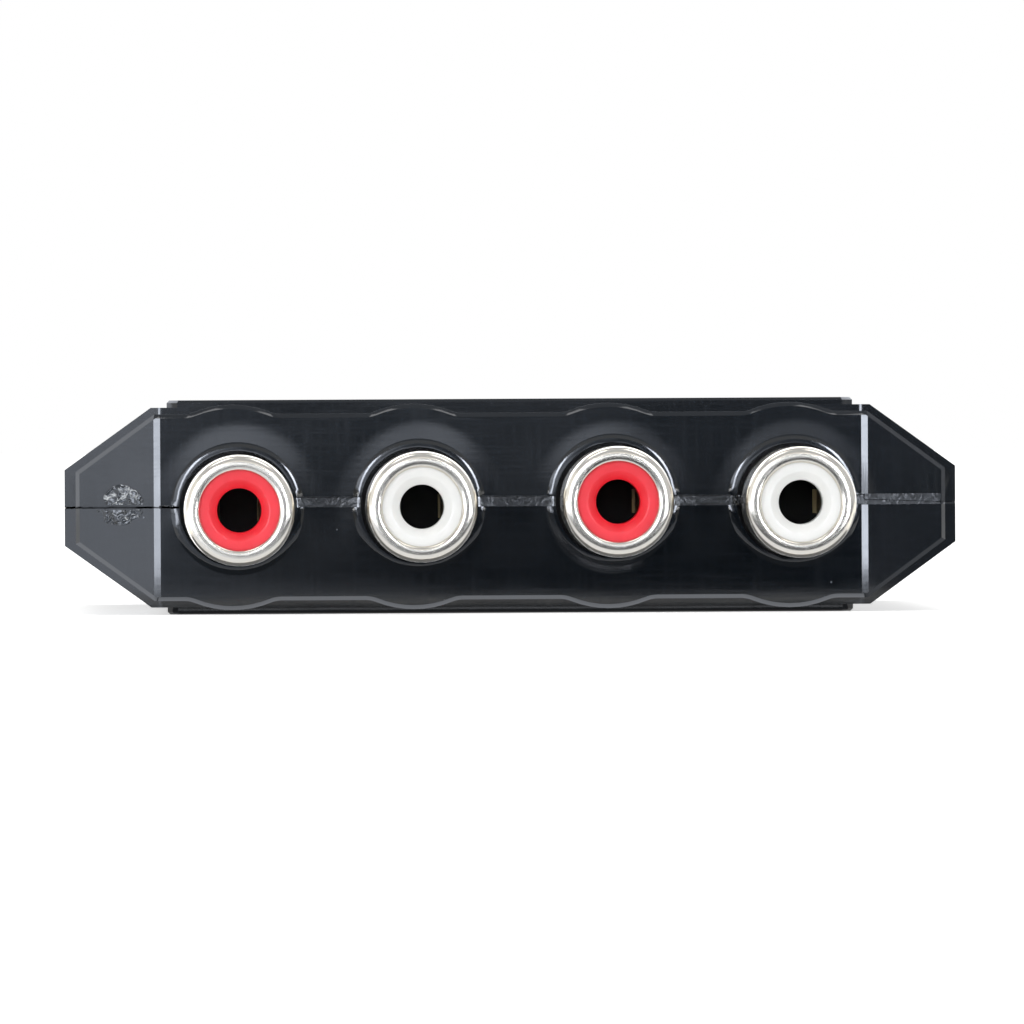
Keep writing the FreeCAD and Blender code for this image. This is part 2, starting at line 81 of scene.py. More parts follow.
def linear(code: str) -> tuple[float, float, float, float]:
    """Turns an sRGB hex colour to the linear values that shaders take.

    Args:
        code: six hex digits after a hash mark.

    Returns:
        Red, green, blue and an alpha of 1.
    """
    values = [int(code[place:place + 2], 16) / 255 for place in (1, 3, 5)]
    red, green, blue = (
        value / 12.92 if value <= 0.04045 else ((value + 0.055) / 1.055) ** 2.4 for value in values
    )
    return red, green, blue, 1.0


def add_node(tree: NodeTree, kind: str, inputs: dict | None = None, **settings: object) -> Node:
    """Adds a shader node with its settings and links.

    Args:
        tree: the material's or world's node tree.
        kind: the node's type, without the ShaderNode that all of them start with.
        inputs: for each named or numbered input a value, an output socket, or a node whose
            first output is meant.
        settings: the node's own properties.

    Returns:
        The new node.
    """
    made = tree.nodes.new("ShaderNode" + kind)
    for name, value in settings.items():
        setattr(made, name, value)
    for key, value in (inputs or {}).items():
        if isinstance(value, Node):
            value = value.outputs[0]
        if isinstance(value, NodeSocket):
            tree.links.new(value, made.inputs[key])
        else:
            made.inputs[key].default_value = value
    return made


def new_material(name: str) -> tuple[Material, NodeTree, NodeSocket]:
    """Starts a node material.

    Args:
        name: the finish's name.

    Returns:
        The material, its node tree, and the places on a piece in the model's own frame.
    """
    material = bpy.data.materials.new(name)
    material.use_nodes = True
    material.node_tree.nodes.clear()
    places = add_node(material.node_tree, "TexCoord").outputs["Object"]
    return material, material.node_tree, places


@dataclass(frozen=True)
class MouldedCasePlastic:
    """Black ABS, injection moulded in a polished tool."""

    split: float
    nose_front: float
    crease: float
    wing_slope: float
    lip_start: float
    lip_end: float
    worn_x: float
    worn_z: float
    colour: str = "#030a11"
    streak_colour: str = "#0a1118"
    dust_colour: str = "#7b828c"
    roughness: float = 0.05
    flow_haze: float = 0.1
    dust_haze: float = 0.3
    lip_haze: float = 0.2
    worn_haze: float = 0.16
    shine: float = 0.5
    draft: float = math.radians(1.0)
    bow: float = 0.7
    jack_shift: float = 0.47 * MM
    jack_fold: float = 14.1 * MM
    jack_pitch: float = 6.8 * MM
    dome_top: float = 4 * MM
    dome_radius: float = 6.6 * MM
    dome_height: float = 0.06 * MM
    sink_size: float = 9 * MM
    sink_depth: float = 0.07 * MM
    flow_size: float = 0.3 * MM
    flow_length: float = 14.0
    flow_depth: float = 0.002 * MM
    lip_height: float = 0.75 * MM
    lip_rise: float = 0.03 * MM
    lip_depth: float = 0.35 * MM
    torn_size: float = 0.4 * MM
    torn_depth: float = 0.08 * MM
    seam_end: float = -21.4 * MM
    seam_rise: float = 0.03 * MM
    seam_width: float = 0.075 * MM
    seam_wave: float = 0.14 * MM
    wave_size: float = 0.6 * MM
    faint_size: float = 1.6 * MM
    faint_share: float = 0.35
    dust_cell: float = 1.6 * MM
    dust_size: float = 0.045
    dust_chance: float = 0.7
    dust_share: float = 0.45
    worn_radius: float = 4.85 * MM
    worn_width: float = 0.45 * MM
    worn_depth: float = 0.02 * MM
    worn_way: Place = (-0.55, 0.0, -0.83)
    worn_start: float = 0.45
    scratch_size: float = 0.07 * MM

    def build(self) -> Material:
        """Makes the material.

        The eye gets a deep gloss whose reflections lean with the draft, waver over sink marks and
        carry flow lines, a few specks of dust, a torn matt seam lip, rub marks by one jack, and a
        thin line of painted shade without gloss along the left wing's seam.

        Returns:
            The case's material.
        """
        material, tree, places = new_material("moulded_black_abs")
        parts = add_node(tree, "SeparateXYZ", {0: places}).outputs
        level = add_node(tree, "Math", {0: parts[2], 1: self.split}, operation="SUBTRACT")
        lip = self.lip_band(tree, parts, level)
        worn = self.rub_marks(tree, parts)
        flow = self.flow_lines(tree, places)
        dust = self.dust(tree, places)
        rough = self.roughness
        for mark, haze in ((flow, self.flow_haze), (dust, self.dust_haze),
                           (lip, self.lip_haze), (worn, self.worn_haze)):
            rough = add_node(tree, "Math", {0: mark, 1: haze, 2: rough},
                             operation="MULTIPLY_ADD")
        streak = add_node(tree, "MapRange", {"Value": flow, "From Min": 0.4, "From Max": 0.75})
        grey = add_node(tree, "Math", {0: dust, 1: self.dust_share}, operation="MULTIPLY")
        # the seam mark is painted shade: a black, glossless line standing in for the gap's shadow
        shut = self.seam(tree, places, parts, level)
        base = linear(self.colour)
        # the last of these marks paints the seam's shade black
        for mark, tone in ((streak, self.streak_colour), (grey, self.dust_colour),
                           (shut, "#000000")):
            base = add_node(tree, "Mix", {0: mark, 6: base, 7: linear(tone)},
                            data_type="RGBA").outputs[2]
        # painted shade: the gloss is turned off along the seam line
        shine = add_node(tree, "MapRange", {"Value": shut, "To Min": self.shine,
                                            "To Max": 0.0})
        shader = add_node(tree, "BsdfPrincipled", {
            "Base Color": base, "Roughness": rough, "IOR": PLASTIC_IOR,
            "Specular IOR Level": shine,
            "Normal": self.relief(tree, places, parts, level, flow, lip, worn),
        })
        add_node(tree, "OutputMaterial", {"Surface": shader})
        return material

    def seam(self, tree: NodeTree, places: NodeSocket, parts: NodeOutputs, level: Node) -> Node:
        """Paints shade into the slightly ragged seam of the left wing: a black line without gloss
        that stands in for the shadow in the gap between the halves.

        Args:
            tree: the material's node tree.
            places: the places on the piece.
            parts: the same places as x, y and z.
            level: the height over the seam.

        Returns:
            The painted seam shade, from 0 to 1.
        """
        wave = add_node(tree, "TexNoise", {"Vector": places, "Scale": 1 / self.wave_size,
                                           "Detail": 3.0})
        wave = add_node(tree, "Math", {0: wave, 1: 0.5}, operation="SUBTRACT")
        off = add_node(tree, "Math", {0: wave, 1: self.seam_wave, 2: level},
                       operation="MULTIPLY_ADD")
        thin = add_node(tree, "Math", {0: off, 1: self.seam_rise, 2: self.seam_width},
                        operation="COMPARE")
        side = add_node(tree, "Math", {0: parts[0], 1: self.seam_end}, operation="LESS_THAN")
        # the painted seam shade is at full or part strength at random, on the left wing only
        faint = add_node(tree, "TexNoise", {"Vector": places, "Scale": 1 / self.faint_size})
        dark = add_node(tree, "MapRange", {"Value": faint, "From Min": 0.4, "From Max": 0.5,
                                           "To Min": self.faint_share})
        dark = add_node(tree, "Math", {0: dark, 1: side}, operation="MULTIPLY")
        return add_node(tree, "Math", {0: thin, 1: dark}, operation="MULTIPLY")

    def relief(self, tree: NodeTree, places: NodeSocket, parts: NodeOutputs, level: Node,
               flow: Node, lip: Node, worn: Node) -> Node:
        """Chains the bumps, from the large ones to the fine ones.

        Args:
            tree: the material's node tree.
            places: the places on the piece.
            parts: the same places as x, y and z.
            level: the height over the seam.
            flow: the flow lines.
            lip: where the torn lip is.
            worn: where the face is rubbed.

        Returns:
            The last bump.
        """
        away = add_node(tree, "Math", {0: level}, operation="ABSOLUTE")
        squared = add_node(tree, "Math", {0: parts[0], 1: parts[0]}, operation="MULTIPLY")
        sink = add_node(tree, "TexNoise", {"Vector": places, "Scale": 1 / self.sink_size,
                                           "Detail": 1.0})
        grit = add_node(tree, "TexNoise", {"Vector": places, "Scale": 1 / self.torn_size,
                                           "Detail": 4.0})
        torn = add_node(tree, "Math", {0: grit, 1: lip}, operation="MULTIPLY")
        last = {}
        for height, depth, falling in (
            (away, math.tan(self.draft), True),
            (squared, self.bow, True),
            (self.domes(tree, parts, level), self.dome_height, False),
            (sink, self.sink_depth, False),
            (flow, self.flow_depth, False),
            (torn, self.torn_depth, False),
            (worn, self.worn_depth, False),
        ):
            bump = add_node(tree, "Bump", {"Height": height, "Distance": depth} | last,
                            invert=falling)
            last = {"Normal": bump}
        return bump

    def domes(self, tree: NodeTree, parts: NodeOutputs, level: Node) -> Node:
        """Swells the face above each jack: the row is folded twice on to one jack.

        Args:
            tree: the material's node tree.
            parts: the places on the piece as x, y and z.
            level: the height over the seam.

        Returns:
            The domes' height, from 0 to 1.
        """
        side = parts[0]
        for shift in (self.jack_shift, self.jack_fold, self.jack_pitch):
            side = add_node(tree, "Math", {0: side, 1: shift}, operation="SUBTRACT")
            side = add_node(tree, "Math", {0: side}, operation="ABSOLUTE")
        flat = add_node(tree, "CombineXYZ", {0: side, 2: level})
        reach = add_node(tree, "VectorMath", {0: flat}, operation="LENGTH").outputs["Value"]
        dome = add_node(tree, "MapRange", {"Value": reach, "From Min": self.dome_top,
                                           "From Max": self.dome_radius, "To Min": 1.0,
                                           "To Max": 0.0}, interpolation_type="SMOOTHSTEP")
        above = add_node(tree, "MapRange", {"Value": level, "From Min": -self.dome_top,
                                            "From Max": self.dome_top / 4})
        return add_node(tree, "Math", {0: dome, 1: above}, operation="MULTIPLY")

    def flow_lines(self, tree: NodeTree, places: NodeSocket) -> Node:
        """Draws faint lines along X and along Z, where the melt flowed.

        Args:
            tree: the material's node tree.
            places: the places on the piece.

        Returns:
            The lines, from 0 to 1.
        """
        lines = []
        for axis in (0, 2):
            squash = [1.0, 1.0, 1.0]
            squash[axis] = 1 / self.flow_length
            drawn = add_node(tree, "Mapping", {"Vector": places, "Scale": squash})
            lines.append(add_node(tree, "TexNoise", {"Vector": drawn, "Detail": 2.0,
                                                     "Scale": 1 / self.flow_size}))
        return add_node(tree, "Math", {0: lines[0], 1: lines[1]}, operation="MAXIMUM")

    def lip_band(self, tree: NodeTree, parts: NodeOutputs, level: Node) -> Node:
        """Marks the strip of torn plastic that shows in the seam of the nose and the right wing.

        Args:
            tree: the material's node tree.
            parts: the places on the piece as x, y and z.
            level: the height over the seam.

        Returns:
            The strip, as 0 or 1.
        """
        middle = (self.lip_start + self.lip_end) / 2
        high = add_node(tree, "Math", {0: level, 1: self.lip_height / 2,
                                       2: self.lip_height / 2 + self.lip_rise},
                        operation="COMPARE")
        wide = add_node(tree, "Math", {0: parts[0], 1: middle, 2: self.lip_end - middle},
                        operation="COMPARE")
        # the nose is straight up to its crease and then slopes back with the wing
        past = add_node(tree, "Math", {0: parts[0], 1: self.crease}, operation="ADD")
        past = add_node(tree, "Math", {0: past, 1: 0.0}, operation="MAXIMUM")
        front = add_node(tree, "Math", {0: past, 1: math.tan(self.wing_slope),
                                        2: self.nose_front + 0.8 * self.lip_depth},
                         operation="MULTIPLY_ADD")
        ahead = add_node(tree, "Math", {0: parts[1], 1: front, 2: self.lip_depth},
                         operation="COMPARE")
        band = add_node(tree, "Math", {0: high, 1: wide}, operation="MULTIPLY")
        return add_node(tree, "Math", {0: band, 1: ahead}, operation="MULTIPLY")

    def dust(self, tree: NodeTree, places: NodeSocket) -> Node:
        """Marks specks of dust, drawn about 0.15 mm across so that they show.

        Args:
            tree: the material's node tree.
            places: the places on the piece.

        Returns:
            The specks, as 0 or 1.
        """
        cells = add_node(tree, "TexVoronoi", {"Vector": places, "Scale": 1 / self.dust_cell})
        near = add_node(tree, "Math", {0: cells, 1: self.dust_size}, operation="LESS_THAN")
        chance = add_node(tree, "SeparateColor", {0: cells.outputs["Color"]})
        some = add_node(tree, "Math", {0: chance, 1: self.dust_chance},
                        operation="GREATER_THAN")
        return add_node(tree, "Math", {0: near, 1: some}, operation="MULTIPLY")

    def rub_marks(self, tree: NodeTree, parts: NodeOutputs) -> Node:
        """Marks arcs to the lower left of one jack, where plugs have rubbed the face.

        Args:
            tree: the material's node tree.
            parts: the places on the piece as x, y and z.

        Returns:
            The arcs, from 0 to 1.
        """
        off_x = add_node(tree, "Math", {0: parts[0], 1: self.worn_x}, operation="SUBTRACT")
        off_z = add_node(tree, "Math", {0: parts[2], 1: self.worn_z}, operation="SUBTRACT")
        flat = add_node(tree, "CombineXYZ", {0: off_x, 2: off_z})
        reach = add_node(tree, "VectorMath", {0: flat}, operation="LENGTH").outputs["Value"]
        off = add_node(tree, "Math", {0: reach, 1: self.worn_radius}, operation="SUBTRACT")
        off = add_node(tree, "Math", {0: off}, operation="ABSOLUTE")
        ring = add_node(tree, "MapRange", {"Value": off, "From Min": 0.0,
                                           "From Max": self.worn_width, "To Min": 1.0,
                                           "To Max": 0.0})
        lean = add_node(tree, "VectorMath", {0: flat, 1: self.worn_way},
                        operation="DOT_PRODUCT").outputs["Value"]
        side = add_node(tree, "MapRange", {"Value": lean, "From Max": self.worn_radius,
                                           "From Min": self.worn_start * self.worn_radius})
        turns = add_node(tree, "TexNoise", {"W": reach, "Scale": 1 / self.scratch_size,
                                            "Detail": 2.0}, noise_dimensions="1D")
        marks = add_node(tree, "MapRange", {"Value": turns, "From Min": 0.45, "From Max": 0.65})
        ring = add_node(tree, "Math", {0: ring, 1: side}, operation="MULTIPLY")
        return add_node(tree, "Math", {0: ring, 1: marks}, operation="MULTIPLY")


@dataclass(frozen=True)
class MeltedPlastic:
    """The same black ABS where it was melted and has set in ridges."""

    colour: str = "#262b31"
    # the ridges' near-white colour is a painted highlight
    ridge_highlight_colour: str = "#dde2e7"
    ridge_size: float = 1.1 * MM
    ridge_share: float = 0.055
    crack_size: float = 0.75 * MM
    relief_depth: float = 0.05 * MM
    roughness: float = 0.24

    def build(self) -> Material:
        """Makes the material.

        The eye gets ridges coloured near white as a painted highlight, and dark cracks, over a
        dull grey-black skin.

        Returns:
            The melted plastic's material.
        """
        material, tree, places = new_material("melted_black_abs")
        swirl = add_node(tree, "TexNoise", {"Vector": places, "Scale": 1 / self.ridge_size,
                                            "Detail": 1.0, "Distortion": 1.4})
        off = add_node(tree, "Math", {0: swirl, 1: 0.5}, operation="SUBTRACT")
        off = add_node(tree, "Math", {0: off}, operation="ABSOLUTE")
        ridge = add_node(tree, "MapRange", {"Value": off, "From Min": 0.0,
                                            "From Max": self.ridge_share, "To Min": 1.0,
                                            "To Max": 0.0})
        breaks = add_node(tree, "TexNoise", {"Vector": places, "Detail": 1.0,
                                             "Scale": 1 / self.crack_size})
        kept = add_node(tree, "MapRange", {"Value": breaks, "From Min": 0.45,
                                           "From Max": 0.58})
        ridge = add_node(tree, "Math", {0: ridge, 1: kept}, operation="MULTIPLY")
        whole = add_node(tree, "MapRange", {"Value": breaks, "From Min": 0.3, "From Max": 0.36})
        base = linear("#000000")
        # the ridges are coloured near white as a painted highlight
        for mark, tone in ((whole, self.colour), (ridge, self.ridge_highlight_colour)):
            base = add_node(tree, "Mix", {0: mark, 6: base, 7: linear(tone)},
                            data_type="RGBA").outputs[2]
        height = add_node(tree, "Math", {0: ridge, 1: whole}, operation="ADD")
        relief = add_node(tree, "Bump", {"Height": height, "Distance": self.relief_depth})
        shader = add_node(tree, "BsdfPrincipled", {
            "Base Color": base, "Roughness": self.roughness, "IOR": PLASTIC_IOR,
            "Normal": relief,
        })
        add_node(tree, "OutputMaterial", {"Surface": shader})
        return material


@dataclass(frozen=True)
class NickelPlate:
    """Bright nickel on a drawn brass sleeve."""

    colour: str = "#ddd7cb"
    roughness: float = 0.21
    haze: float = 0.1
    cloud_size: float = 0.9 * MM
    ring_size: float = 0.05 * MM
    ring_depth: float = 0.0012 * MM
    ring_squash: Place = (0.03, 1.0, 0.03)

    def build(self) -> Material:
        """Makes the material.

        The eye gets a warm, soft mirror with a patchy haze and the faintest turned rings.

        Returns:
            The sleeves' material.
        """
        material, tree, places = new_material("bright_nickel_plate")
        cloud = add_node(tree, "TexNoise", {"Vector": places, "Scale": 1 / self.cloud_size,
                                            "Detail": 3.0})
        rough = add_node(tree, "Math", {0: cloud, 1: self.haze,
                                        2: self.roughness - self.haze / 2},
                         operation="MULTIPLY_ADD")
        drawn = add_node(tree, "Mapping", {"Vector": places, "Scale": self.ring_squash})
        rings = add_node(tree, "TexNoise", {"Vector": drawn, "Scale": 1 / self.ring_size,
                                            "Detail": 2.0})
        relief = add_node(tree, "Bump", {"Height": rings, "Distance": self.ring_depth})
        shader = add_node(tree, "BsdfPrincipled", {
            "Base Color": linear(self.colour), "Metallic": 1.0, "Roughness": rough,
            "Normal": relief,
        })
        add_node(tree, "OutputMaterial", {"Surface": shader})
        return material


@dataclass(frozen=True)
class PlainMetal:
    """Rolled or drawn metal."""

    name: str
    colour: str
    roughness: float
    line_size: float
    stretch: Place
    haze: float = 0.2
    line_depth: float = 0.01 * MM

    def build(self) -> Material:
        """Makes the material.

        The eye gets a metal with drawn lines along one way and a slight tarnish.

        Returns:
            The metal's material.
        """
        material, tree, places = new_material(self.name)
        squash = tuple(1 / length for length in self.stretch)
        drawn = add_node(tree, "Mapping", {"Vector": places, "Scale": squash})
        lines = add_node(tree, "TexNoise", {"Vector": drawn, "Scale": 1 / self.line_size,
                                            "Detail": 3.0})
        rough = add_node(tree, "Math", {0: lines, 1: self.haze,
                                        2: self.roughness - self.haze / 2},
                         operation="MULTIPLY_ADD")
        relief = add_node(tree, "Bump", {"Height": lines, "Distance": self.line_depth})
        shader = add_node(tree, "BsdfPrincipled", {
            "Base Color": linear(self.colour), "Metallic": 1.0, "Roughness": rough,
            "Normal": relief,
        })
        add_node(tree, "OutputMaterial", {"Surface": shader})
        return material


@dataclass(frozen=True)
class PlainPolymer:
    """A moulded, coated or glazed surface that isn't metal."""

    name: str
    colour: str
    shade: str
    roughness: float
    grain_size: float
    grain_depth: float
    ior: float = 1.5
    haze: float = 0.14
    # a cloud of the second tone is so many grains across
    cloud_grains: float = 12

    def build(self) -> Material:
        """Makes the material.

        The eye gets two near tones in soft clouds under a fine surface grain.

        Returns:
            The polymer's material.
        """
        material, tree, places = new_material(self.name)
        grain = add_node(tree, "TexNoise", {"Vector": places, "Scale": 1 / self.grain_size,
                                            "Detail": 3.0})
        cloud_size = self.cloud_grains * self.grain_size
        cloud = add_node(tree, "TexNoise", {"Vector": places, "Detail": 2.0,
                                            "Scale": 1 / cloud_size})
        tone = add_node(tree, "MapRange", {"Value": cloud, "From Min": 0.35, "From Max": 0.65})
        base = add_node(tree, "Mix", {0: tone, 6: linear(self.colour), 7: linear(self.shade)},
                        data_type="RGBA")
        rough = add_node(tree, "Math", {0: grain, 1: self.haze,
                                        2: self.roughness - self.haze / 2},
                         operation="MULTIPLY_ADD")
        relief = add_node(tree, "Bump", {"Height": grain, "Distance": self.grain_depth})
        shader = add_node(tree, "BsdfPrincipled", {
            "Base Color": base.outputs[2], "Roughness": rough, "IOR": self.ior,
            "Normal": relief,
        })
        add_node(tree, "OutputMaterial", {"Surface": shader})
        return material


def deselect_all() -> None:
    """Leaves object mode clean: nothing is selected and nothing is edited."""
    if bpy.context.object and bpy.context.object.mode != "OBJECT":
        bpy.ops.object.mode_set(mode="OBJECT")
    bpy.ops.object.select_all(action="DESELECT")


def take(piece: Object) -> None:
    """Makes a piece the only selected and the active one.

    Args:
        piece: the piece.
    """
    deselect_all()
    piece.select_set(True)
    bpy.context.view_layer.objects.active = piece


def edit(piece: Object, kind: Element = Element.POINTS, selected: bool = True) -> None:
    """Opens a piece for editing.

    Args:
        piece: the piece.
        kind: what is picked.
        selected: whether all of it starts selected.
    """
    take(piece)
    bpy.ops.object.mode_set(mode="EDIT")
    bpy.ops.mesh.select_mode(type=kind.value)
    bpy.ops.mesh.select_all(action="SELECT" if selected else "DESELECT")


def leave_edit() -> None:
    """Goes back to object mode."""
    bpy.ops.object.mode_set(mode="OBJECT")


def pick(piece: Object, kind: Element, chosen: list[int]) -> None:
    """Opens a piece for editing with some of its points or faces selected.

    Args:
        piece: the piece.
        kind: points or faces.
        chosen: the numbers of those that are selected.
    """
    edit(piece, kind, selected=False)
    leave_edit()
    elements = piece.data.vertices if kind is Element.POINTS else piece.data.polygons
    for number in chosen:
        elements[number].select = True
    bpy.ops.object.mode_set(mode="EDIT")


def settle(piece: Object) -> None:
    """Puts a piece's place into its mesh, so that its object sits unturned at the origin."""
    take(piece)
    bpy.ops.object.transform_apply(location=True, rotation=True, scale=True)


def smooth(piece: Object, angle: float = SMOOTH_ANGLE) -> None:
    """Shades a piece smooth where its faces meet at less than an angle."""
    take(piece)
    bpy.ops.object.shade_smooth_by_angle(angle=angle)


def bevel_edges(piece: Object, width: float, segments: int = 3) -> None:
    """Rounds each sharp edge of a piece.

    Args:
        piece: the piece.
        width: how far the rounding reaches on each side of an edge.
        segments: the faces across the rounding.
    """
    take(piece)
    bevel = piece.modifiers.new("edges", "BEVEL")
    bevel.width = width
    bevel.segments = segments
    bevel.limit_method = "ANGLE"
    bevel.angle_limit = SHARP_ANGLE
    bpy.ops.object.modifier_apply(modifier=bevel.name)


def crisp_large_faces(piece: Object, area: float, bend: float) -> None:
    """Marks the edges of large flat faces sharp, so that no shading runs out over them.

    Args:
        piece: the piece.
        area: the area of a large face.
        bend: the angle from which an edge is marked.
    """
    faces = piece.data.polygons
    large = {face.index for face in faces if face.area > area}
    beside: dict[tuple[int, int], list[int]] = {}
    for face in faces:
        for key in face.edge_keys:
            beside.setdefault(key, []).append(face.index)
    for line in piece.data.edges:
        pair = beside.get(line.key, [])
        if len(pair) == 2 and large.intersection(pair):
            turn = faces[pair[0]].normal.angle(faces[pair[1]].normal, 0)
            if turn > bend:
                line.use_edge_sharp = True


def flatten_shading(piece: Object) -> None:
    """Lets the large faces rule the shading of the small roundings between them.

    Args:
        piece: the piece.
    """
    take(piece)
    weighted = piece.modifiers.new("normals", "WEIGHTED_NORMAL")
    weighted.keep_sharp = True
    weighted.weight = 100
    bpy.ops.object.modifier_apply(modifier=weighted.name)


def hand_over(piece: Object, finish: Material, slot: str, *nodes: str) -> None:
    """Dresses a finished piece and hands it to the frame.

    Args:
        piece: the piece.
        finish: its material.
        slot: the record's material slot; not used.
        nodes: the nodes that it stands for, if any.
    """
    piece.data.materials.clear()
    piece.data.materials.append(finish)
    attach(piece, "root")
    if nodes:
        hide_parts(*nodes)
    log.info("%s: %d faces", piece.name, len(piece.data.polygons))


def turned_ring(name: str, x: float, z: float, profile: list[tuple[float, float]],
                steps: int) -> Object:
    """Models a closed ring about a line along Y, by drawing out one circle after another.

    Args:
        name: the piece's name.
        x: the line's place across.
        z: the line's height.
        profile: the section's corners as (radius, y), in order.
        steps: the faces round the ring.

    Returns:
        The ring, with outward faces.
    """
    deselect_all()
    radius, y = profile[0]
    bpy.ops.mesh.primitive_circle_add(vertices=steps, radius=radius, location=(x, y, z),
                                      rotation=(math.pi / 2, 0, 0))
    piece = bpy.context.object
    piece.name = name
    settle(piece)
    edit(piece, Element.EDGES)
    for next_radius, next_y in profile[1:] + profile[:1]:
        bpy.ops.mesh.extrude_edges_move(TRANSFORM_OT_translate={"value": (0, next_y - y, 0)})
        share = next_radius / radius
        bpy.ops.transform.resize(value=(share, 1, share), center_override=(x, next_y, z))
        radius, y = next_radius, next_y
    bpy.ops.mesh.select_all(action="SELECT")
    bpy.ops.mesh.remove_doubles(threshold=MERGE_DISTANCE)
    bpy.ops.mesh.normals_make_consistent(inside=False)
    leave_edit()
    return piece


def plate(name: str, low: Place, high: Place, edge: float) -> Object:
    """Models a small plate between two corners, with its edges rounded.

    Args:
        name: the plate's name.
        low: its lowest corner.
        high: its highest corner.
        edge: how far the rounding of its edges reaches.

    Returns:
        The plate.
    """
    deselect_all()
    middle = [(a + b) / 2 for a, b in zip(low, high)]
    bpy.ops.mesh.primitive_cube_add(size=1, location=middle)
    piece = bpy.context.object
    piece.name = name
    settle(piece)
    edit(piece)
    bpy.ops.transform.resize(value=[b - a for a, b in zip(low, high)], center_override=middle)
    bpy.ops.mesh.bevel(offset=edge, segments=2, affect="EDGES")
    leave_edit()
    return piece


def moved_copy(pattern: Object, name: str, shift: Vector) -> Object:
    """Copies a piece with a mesh of its own and moves the copy.

    Args:
        pattern: the piece to copy.
        name: the copy's name.
        shift: how far the copy is moved.

    Returns:
        The copy.
    """
    take(pattern)
    bpy.ops.object.duplicate(linked=False)
    piece = bpy.context.object
    piece.name = name
    edit(piece)
    bpy.ops.transform.translate(value=shift)
    leave_edit()
    return piece


def join_to(piece: Object, others: list[Object]) -> None:
    """Joins other pieces into one.

    Args:
        piece: the piece that stays.
        others: the pieces that go into it.
    """
    take(piece)
    for other in others:
        other.select_set(True)
    bpy.ops.object.join()


@dataclass
class CaseHalf:
    """One moulded half of the case, with its sharp edges rounded."""

    node: str
    split: float
    nose_front: float
    edge_radius: float = 0.08 * MM
    rim_radius: float = 0.2 * MM
    rim_depth: float = 0.8 * MM
    seam_reach: float = 0.2 * MM
    groove_side: float = 32.78 * MM
    groove_end: float = 32.665 * MM
    groove_play: float = 0.01 * MM
    # the slope round the nose's edge faces forward by so much
    least_forward: float = 0.5
    most_forward: float = 0.85
    flat_angle: float = math.radians(0.4)
    crisp_angle: float = math.radians(6.5)
    large_area: float = 15 * MM * MM

    def build(self, finish: Material) -> None:
        """Rounds a copy of the half's solid.

        Args:
            finish: the case's material.
        """
        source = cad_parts[self.node]
        piece = bpy.data.objects.new(self.node + "_moulding", source.data.copy())
        bpy.context.scene.collection.objects.link(piece)
        edit(piece)
        bpy.ops.mesh.remove_doubles(threshold=MERGE_DISTANCE)
        bpy.ops.mesh.dissolve_limited(angle_limit=self.flat_angle)
        leave_edit()
        self.close_end_slits(piece)
        self.round_rim(piece)
        bevel_edges(piece, self.edge_radius)
        smooth(piece)
        crisp_large_faces(piece, self.large_area, self.crisp_angle)
        flatten_shading(piece)
        hand_over(piece, finish, "case_plastic", self.node)

    def close_end_slits(self, piece: Object) -> None:
        """Draws the seam groove's outer walls in to the ends of the nose.

        Args:
            piece: the half.
        """
        pick(piece, Element.POINTS, [
            point.index for point in piece.data.vertices
            if point.co.z > self.split
            and abs(abs(point.co.x) - self.groove_side) < self.groove_play
        ])
        bpy.ops.transform.resize(value=(self.groove_end / self.groove_side, 1, 1),
                                 center_override=(0, self.nose_front, self.split))
        leave_edit()

    def round_rim(self, piece: Object) -> None:
        """Turns the slope round the nose's edge into a full rounding.

        Args:
            piece: the half.
        """
        pick(piece, Element.FACES, [
            face.index for face in piece.data.polygons
            if abs(face.center.y - self.nose_front) < self.rim_depth
            and self.least_forward < -face.normal.y < self.most_forward
        ])
        bpy.ops.mesh.region_to_loop()
        leave_edit()
        points = piece.data.vertices
        for line in piece.data.edges:
            at_seam = all(abs(points[point].co.z - self.split) < self.seam_reach
                          for point in line.vertices)
            if at_seam:
                line.select = False
        bpy.ops.object.mode_set(mode="EDIT")
        bpy.ops.mesh.bevel(offset=self.rim_radius, segments=3, affect="EDGES",
                           clamp_overlap=True)
        leave_edit()


